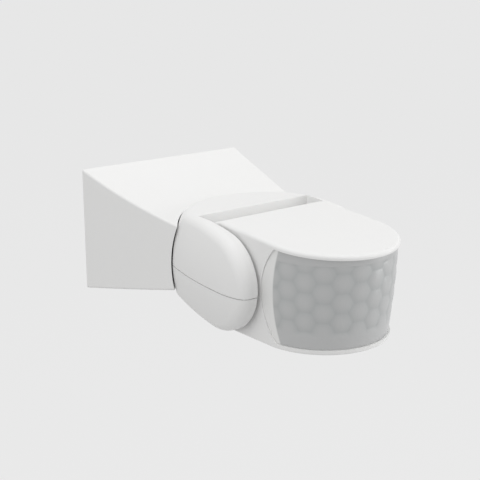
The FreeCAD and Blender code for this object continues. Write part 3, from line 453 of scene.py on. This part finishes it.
def fill(bm, *loops):
    """A flat face between an outer loop and the loops inside it."""
    pairs = [pair for loop in loops for pair in zip(loop, loop[1:] + loop[:1])]
    edges = [bm.edges.get(pair) or bm.edges.new(pair) for pair in pairs]
    bmesh.ops.triangle_fill(bm, edges=edges, use_beauty=True)


def scaled(points, factor):
    return [(x * factor, y * factor) for x, y in points]


def ring(radius, count):
    turns = [2 * math.pi * n / count for n in range(count)]
    return [(radius * math.cos(turn), radius * math.sin(turn)) for turn in turns]


def cap_with_pits(bm, outline, pits, face_z, back_z, depth, chamfer):
    """A solid between two heights whose lower face has a chamfered border and sunk pits."""
    reach = max(abs(x) for x, y in outline)
    face = loop_at(bm, scaled(outline, 1 - chamfer / reach), face_z)
    shoulder = loop_at(bm, outline, face_z + chamfer)
    back = loop_at(bm, outline, back_z)
    mouths = [loop_at(bm, pit, face_z) for pit in pits]
    wall_between(bm, face, shoulder)
    wall_between(bm, shoulder, back)
    fill(bm, back)
    fill(bm, face, *mouths)
    for pit, mouth in zip(pits, mouths):
        bottom = loop_at(bm, scaled(pit, PIT_TAPER), face_z + depth)
        wall_between(bm, mouth, bottom)
        fill(bm, bottom)


def rod_along_z(bm, radius, low_z, high_z):
    low = loop_at(bm, ring(radius, ROD_SIDES), low_z)
    high = loop_at(bm, ring(radius, ROD_SIDES), high_z)
    wall_between(bm, low, high)
    fill(bm, low)
    fill(bm, high)


def lip_z(y):
    """The height of the underside of the cover's sloping lip."""
    return HEAD_TOP_Z + HEAD_TOP_SLOPE * (y - TILT_Y) - LIP_THICKNESS


def arc_radius(half_chord, rise):
    """The radius of the arc that rises so far over its chord."""
    return (half_chord ** 2 + rise ** 2) / (2 * rise)


def lens_section(z, inset):
    """The lens's outline at a height: its half width, its nose radius and the y of the nose's centre."""
    share = (HEAD_TOP_Z - z) / (HEAD_TOP_Z - HEAD_LOW_Z)
    high = lip_z(NOSE_Y)
    step = (z - (high + FLOOR_TOP_Z) / 2) / ((high - FLOOR_TOP_Z) / 2)
    back = LENS_SETBACK + inset - LENS_BULGE * (1 - step ** 2)
    half = HEAD_HALF_WIDTH - HEAD_DRAFT * share - back
    tip = HEAD_FRONT_Y + NOSE_DRAFT * share + back
    radius = arc_radius(half, NOSE_Y - tip)
    return half, radius, tip + radius


def lens_rear(z):
    """How far back the lens runs at a height, along its bowed rear edge."""
    high = lip_z(LENS_CORNER_Y) - LENS_TOP_GAP
    half = (high - LENS_LOW_Z) / 2
    radius = arc_radius(half, LENS_REAR_Y - LENS_CORNER_Y)
    off = min(abs(z - (high + LENS_LOW_Z) / 2), half)
    return LENS_REAR_Y - radius + math.sqrt(radius ** 2 - off ** 2)


def lens_plan(share, z, inset):
    """The x, y and way inwards of the lens at a height, by the share of its length from tip to rear."""
    half, radius, centre = lens_section(z, inset)
    rear = lens_rear(z)
    arc = radius * math.asin(min(1, half / radius))
    if rear > NOSE_Y:
        length = arc + rear - NOSE_Y
    else:
        length = radius * math.acos(min(1, max(-1, (centre - rear) / radius)))
    way = share * length
    if way > arc:
        return half, NOSE_Y + way - arc, (-1, 0)
    turn = way / radius
    return radius * math.sin(turn), centre - radius * math.cos(turn), (-math.sin(turn), math.cos(turn))


def lens_point(u, v, inset):
    """A point of the lens and its way inwards, with u from -1 to 1 round the nose and v from 0 to 1 upwards.

    The height under the sloping lip depends on y and y on the height, so a few passes settle both.
    """
    z = LENS_LOW_Z + v * LENS_HEIGHT
    for _ in range(LENS_PASSES):
        x, y, inwards = lens_plan(abs(u), z, inset)
        z = LENS_LOW_Z + v * (lip_z(y) - LENS_TOP_GAP - LENS_LOW_Z)
    side = 1 if u >= 0 else -1
    return Vector((side * x, y, z)), Vector((side * inwards[0], inwards[1], 0))


def lens_skin():
    """The lens as a closed shell, with the way inwards kept on each outer point."""
    wide = LENS_COLUMNS + 1
    grid = [(2 * i / LENS_COLUMNS - 1, j / LENS_ROWS) for j in range(LENS_ROWS + 1) for i in range(wide)]
    outer = [lens_point(u, v, 0) for u, v in grid]
    inner = [lens_point(u, v, LENS_THICKNESS) for u, v in grid]
    count = len(grid)
    faces = []
    for j in range(LENS_ROWS):
        for a in range(j * wide, j * wide + LENS_COLUMNS):
            quad = (a, a + 1, a + 1 + wide, a + wide)
            faces += [quad, tuple(n + count for n in reversed(quad))]
    top = LENS_ROWS * wide
    rim = [(i, i + 1) for i in range(LENS_COLUMNS)]
    rim += [(n + LENS_COLUMNS, n + wide + LENS_COLUMNS) for n in range(0, top, wide)]
    rim += [(top + i + 1, top + i) for i in range(LENS_COLUMNS)]
    rim += [(n + wide, n) for n in range(0, top, wide)]
    faces += [(b, a, a + count, b + count) for a, b in rim]
    mesh = bpy.data.meshes.new("lens_facets")
    mesh.from_pydata([point * MM for point, _ in outer + inner], [], faces)
    ways = [value for _, inwards in outer for value in inwards]
    inward = mesh.attributes.new("inward", "FLOAT_VECTOR", "POINT")
    inward.data.foreach_set("vector", ways + [0.0] * (3 * count))
    return new_piece("lens_facets", mesh)


def facet_tree():
    """Presses a field of staggered shallow domes into the lens skin."""
    facets = Tree("lens_facets", {
        "Facet Width": FACET_WIDTH * MM, "Facet Height": FACET_HEIGHT * MM, "Facet Start": FACET_START_Z * MM,
        "Depth": FACET_DEPTH * MM, "Low": FIELD_LOW_Z * MM, "High": FIELD_HIGH_Z * MM,
        "Border": FIELD_BORDER * MM, "Low Border": FIELD_LOW_BORDER * MM,
        "Rim Middle": RIM_MIDDLE_Z * MM, "Rim Bow": RIM_BOW / MM, "Material": finishes["lens_plastic"],
    })
    given = facets.given
    x, y, z = facets.axes(facets.node("GeometryNodeInputPosition"))
    groove = groove_share(x, y, z, given("Facet Width"), given("Facet Height"), given("Facet Start"))
    inside = (0.0 - into_rim(y, z, given("Rim Middle"), given("Rim Bow"))).share_of(given("Border"))
    above = (z - given("Low")).share_of(given("Low Border"))
    below = (given("High") - z).share_of(given("Border"))
    sunk = groove * (1 - FACET_MIDDLE_SHARE) + FACET_MIDDLE_SHARE
    depth = given("Depth") * sunk * inside * above * below
    inward = facets.node("GeometryNodeInputNamedAttribute", {"data_type": "FLOAT_VECTOR"}, {"Name": "inward"})
    push = facets.node("ShaderNodeVectorMath", {"operation": "SCALE"}, {0: inward, "Scale": depth})
    facets.end(facets.node("GeometryNodeSetPosition", {}, {"Geometry": given("Geometry"), "Offset": push}))
    return facets


def make_lens():
    piece = facet_tree().bake(lens_skin())
    piece.data.attributes.remove(piece.data.attributes["inward"])
    soften(piece.data, LENS_CREASE)
    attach(piece, "head")
    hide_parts("segmented_lens")


def cross(w, r):
    """The outline of a cross recess of half width w and reach r."""
    return [(w, w), (w, r), (-w, r), (-w, w), (-r, w), (-r, -w),
            (-w, -w), (-w, -r), (w, -r), (w, -w), (r, -w), (r, w)]


def screw_tree(template, seed):
    """A screw at each point of a mesh, each turned its own way."""
    screws = Tree("screws", {"Screw": template, "Seed": seed, "Material": finishes["zinc_steel"]})
    points = screws.node("GeometryNodeMeshToPoints", {}, {"Mesh": screws.given("Geometry")})
    screw = screws.node("GeometryNodeObjectInfo", {}, {"Object": screws.given("Screw")}).outputs["Geometry"]
    turn = screws.node("FunctionNodeRandomValue", {"data_type": "FLOAT"}, {"Seed": screws.given("Seed")})
    share = Sock(screws, next(socket for socket in turn.outputs if socket.enabled))
    spin = screws.node("ShaderNodeCombineXYZ", {}, {"Z": share * (math.pi / 2)})
    sockets = {"Points": points, "Instance": screw, "Rotation": spin}
    screws.end(screws.node("GeometryNodeInstanceOnPoints", {}, sockets))
    return screws


def make_screws(name, node, body, places, length, seed):
    """A row of screws with a round head, a cross recess and a plain shank."""
    bm = bmesh.new()
    recess = cross(RECESS_HALF_WIDTH, RECESS_REACH)
    outline = ring(SCREW_HEAD_R, SCREW_HEAD_SIDES)
    cap_with_pits(bm, outline, [recess], 0, SCREW_HEAD_HEIGHT, RECESS_DEPTH, SCREW_CHAMFER)
    rod_along_z(bm, SHANK_R, SCREW_HEAD_HEIGHT - SHANK_BURIED, SCREW_HEAD_HEIGHT + length)
    template = solid_piece("screw_template", bm, SCREW_CREASE)
    piece = screw_tree(template, seed).bake(points_piece(name, places))
    bpy.data.objects.remove(template)
    soften(piece.data, SCREW_CREASE)
    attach(piece, body)
    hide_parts(node)


def gripped(radius, depth, grooves):
    """A round outline with grip grooves."""
    points = []
    for n in range(grooves * GRIP_STEPS):
        turn = 2 * math.pi * n / (grooves * GRIP_STEPS)
        r = radius - depth * (0.5 - 0.5 * math.cos(grooves * turn)) ** 2
        points.append((r * math.cos(turn), r * math.sin(turn)))
    return points


def make_dial(name, node, body, x):
    """A trimmer dial with grip grooves, a screwdriver slot and a sunk arrow head."""
    bm = bmesh.new()
    outline = gripped(KNOB_R, GRIP_DEPTH, GRIP_GROOVES)
    pits = [DIAL_SLOT, DIAL_ARROW]
    cap_with_pits(bm, outline, pits, KNOB_LOW_Z, KNOB_HIGH_Z, DIAL_PIT_DEPTH, KNOB_CHAMFER)
    rod_along_z(bm, STEM_R, KNOB_HIGH_Z - STEM_BURIED, KNOB_HIGH_Z + STEM_LENGTH)
    bmesh.ops.translate(bm, verts=bm.verts, vec=(x * MM, KNOB_Y * MM, 0))
    piece = solid_piece(name, bm, DIAL_CREASE)
    piece.data.materials.append(finishes["knob_plastic"])
    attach(piece, body)
    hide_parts(node)


def tick_tree():
    """A bar at each point of an arc whose middle lies ahead, and that arc of bars at each point of a mesh."""
    ticks = Tree("dial_ticks", {
        "Radius": TICK_RING_R * MM, "Sweep": TICK_SWEEP, "Count": TICK_COUNT, "Length": TICK_LENGTH * MM,
        "Width": TICK_WIDTH * MM, "Height": TICK_HEIGHT * MM, "Material": finishes["knob_plastic"],
    })
    given = ticks.given
    arc = ticks.node("GeometryNodeCurveArc", {"mode": "RADIUS"}, {
        "Resolution": given("Count"), "Radius": given("Radius"), "Sweep Angle": given("Sweep"),
        "Start Angle": given("Sweep") * -0.5 - math.pi / 2,
    })
    sides = {"X": given("Length"), "Y": given("Width"), "Z": given("Height")}
    bar = ticks.node("GeometryNodeMeshCube", {}, {"Size": ticks.node("ShaderNodeCombineXYZ", {}, sides)})
    places = ticks.node("GeometryNodeCurveToPoints", {"mode": "EVALUATED"}, {"Curve": arc})
    x, y, _ = ticks.axes(ticks.node("GeometryNodeInputPosition"))
    spin = ticks.node("ShaderNodeCombineXYZ", {}, {"Z": y.turn_from(x)})
    sockets = {"Points": places, "Instance": bar, "Rotation": spin}
    row = ticks.node("GeometryNodeInstanceOnPoints", {}, sockets)
    dials = ticks.node("GeometryNodeMeshToPoints", {}, {"Mesh": given("Geometry")})
    ticks.end(ticks.node("GeometryNodeInstanceOnPoints", {}, {"Points": dials, "Instance": row}))
    return ticks


def make_ticks():
    piece = points_piece("dial_ticks", [(x, KNOB_Y, HEAD_LOW_Z) for x in KNOB_XS])
    tick_tree().bake(piece)
    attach(piece, "head")


def make_mark(name, words, x, y, height):
    """Small raised lettering on the head's underside, read from below."""
    curve = bpy.data.curves.new(name, "FONT")
    curve.body = words
    curve.size = height * MM
    curve.align_x = "CENTER"
    curve.align_y = "CENTER"
    curve.extrude = MARK_RAISE * MM
    curve.resolution_u = MARK_CURVE_STEPS
    text = new_piece(name + "_text", curve)
    bpy.context.view_layer.update()
    mesh = bpy.data.meshes.new_from_object(text.evaluated_get(bpy.context.evaluated_depsgraph_get()))
    bpy.data.objects.remove(text)
    mesh.transform(Matrix.Translation(Vector((x, y, HEAD_LOW_Z)) * MM) @ Matrix.Rotation(math.pi, 4, "X"))
    mesh.materials.clear()
    mesh.materials.append(finishes["knob_plastic"])
    piece = new_piece(name, mesh)
    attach(piece, "head")


def make_marks():
    for name, words, x in zip(("time_mark", "light_mark", "range_mark"), ("TIME", "LUX", "SENS"), KNOB_XS):
        make_mark(name, words, x, KNOB_Y - WORD_AHEAD, WORD_HEIGHT)
        make_mark(name + "_minus", "-", x - SIGN_ASIDE, KNOB_Y + SIGN_BEHIND, SIGN_HEIGHT)
        make_mark(name + "_plus", "+", x + SIGN_ASIDE, KNOB_Y + SIGN_BEHIND, SIGN_HEIGHT)


def grey(level):
    return level, level, level, 1


def make_floor(size, height, level, roughness, glow_level, glow_share):
    """A pale floor that shows as flat grey, with a share of its lit surface for the object's shadow."""
    bpy.ops.mesh.primitive_plane_add(size=size, location=(0, 0, height))
    floor = bpy.context.object
    floor.name = "floor"
    finish = Finish("floor_pale", (level, level, level), roughness)
    rays = finish.node("ShaderNodeLightPath")
    seen = Sock(finish, rays.outputs["Is Camera Ray"]) + Sock(finish, rays.outputs["Is Glossy Ray"])
    glow = finish.node("ShaderNodeEmission", {}, {"Color": grey(glow_level), "Strength": 1})
    sockets = {"Fac": seen.clamped() * glow_share, 1: finish.shader, 2: glow}
    mix = finish.node("ShaderNodeMixShader", {}, sockets)
    finish.feed(finish.tree.nodes["Material Output"].inputs["Surface"], mix)
    floor.data.materials.append(finish.material)


def world_light(level, background):
    """Even light from all round, and a plain background where the camera sees past the floor."""
    world = bpy.data.worlds.new("studio")
    bpy.context.scene.world = world
    world.use_nodes = True
    nodes = Nodes(world.node_tree)
    nodes.tree.nodes.clear()
    seen = nodes.node("ShaderNodeLightPath").outputs["Is Camera Ray"]
    light = nodes.node("ShaderNodeBackground", {}, {"Color": grey(1), "Strength": level})
    plain = nodes.node("ShaderNodeBackground", {}, {"Color": grey(background)})
    mix = nodes.node("ShaderNodeMixShader", {}, {"Fac": seen, 1: light, 2: plain})
    nodes.node("ShaderNodeOutputWorld", {}, {"Surface": mix})


def softbox(name, place, size, power, aim=(0, -0.06, 0)):
    """A square lamp that faces the middle of the sensor."""
    lamp = bpy.data.lights.new(name, "AREA")
    lamp.shape = "SQUARE"
    lamp.size = size
    lamp.energy = power
    holder = new_piece(name, lamp)
    holder.location = place
    holder.rotation_euler = (Vector(aim) - Vector(place)).to_track_quat("-Z", "Y").to_euler()


def photo_camera(place, back, lens):
    """The photo's viewpoint, from the perspective of the base's and the head's edges."""
    camera = new_piece("camera", bpy.data.cameras.new("camera"))
    camera.location = place
    camera.rotation_euler = Vector(back).to_track_quat("Z", "Y").to_euler()
    camera.data.lens = lens
    camera.data.sensor_width = 36
    camera.data.clip_start = 0.01
    bpy.context.scene.camera = camera


finish_solids()
make_lens()
make_screws("housing_cross_screws", "housing_screws", "base", HOUSING_SCREWS, length=9.0, seed=3)
make_screws("yoke_cross_screws", "yoke_screws", "yoke", YOKE_SCREWS, length=13.0, seed=5)
make_screws("head_cross_screws", "head_screws", "head", HEAD_SCREWS, length=12.0, seed=8)
make_dial("time_dial_piece", "time_knob", "time_dial", KNOB_XS[0])
make_dial("light_dial_piece", "light_knob", "light_dial", KNOB_XS[1])
make_dial("range_dial_piece", "range_knob", "range_dial", KNOB_XS[2])
make_ticks()
make_marks()

# The stage, in metres: lamp powers are in watts and levels are shares of white.
make_floor(size=80, height=-0.34, level=0.6, roughness=0.9, glow_level=0.87, glow_share=0.85)
world_light(level=0.63, background=0.806)
softbox("top_softbox", place=(0.0, -0.15, 0.9), size=0.9, power=3.15)
softbox("right_softbox", place=(0.8, -0.68, 0.04), size=0.5, power=3.5)
softbox("left_softbox", place=(-0.8, -0.2, 0.42), size=0.6, power=1.33)
photo_camera(place=(-0.2367, -0.3386, 0.10313), back=(-0.6109, -0.7454, 0.2668), lens=76.66)
bpy.context.scene.view_settings.view_transform = "Standard"
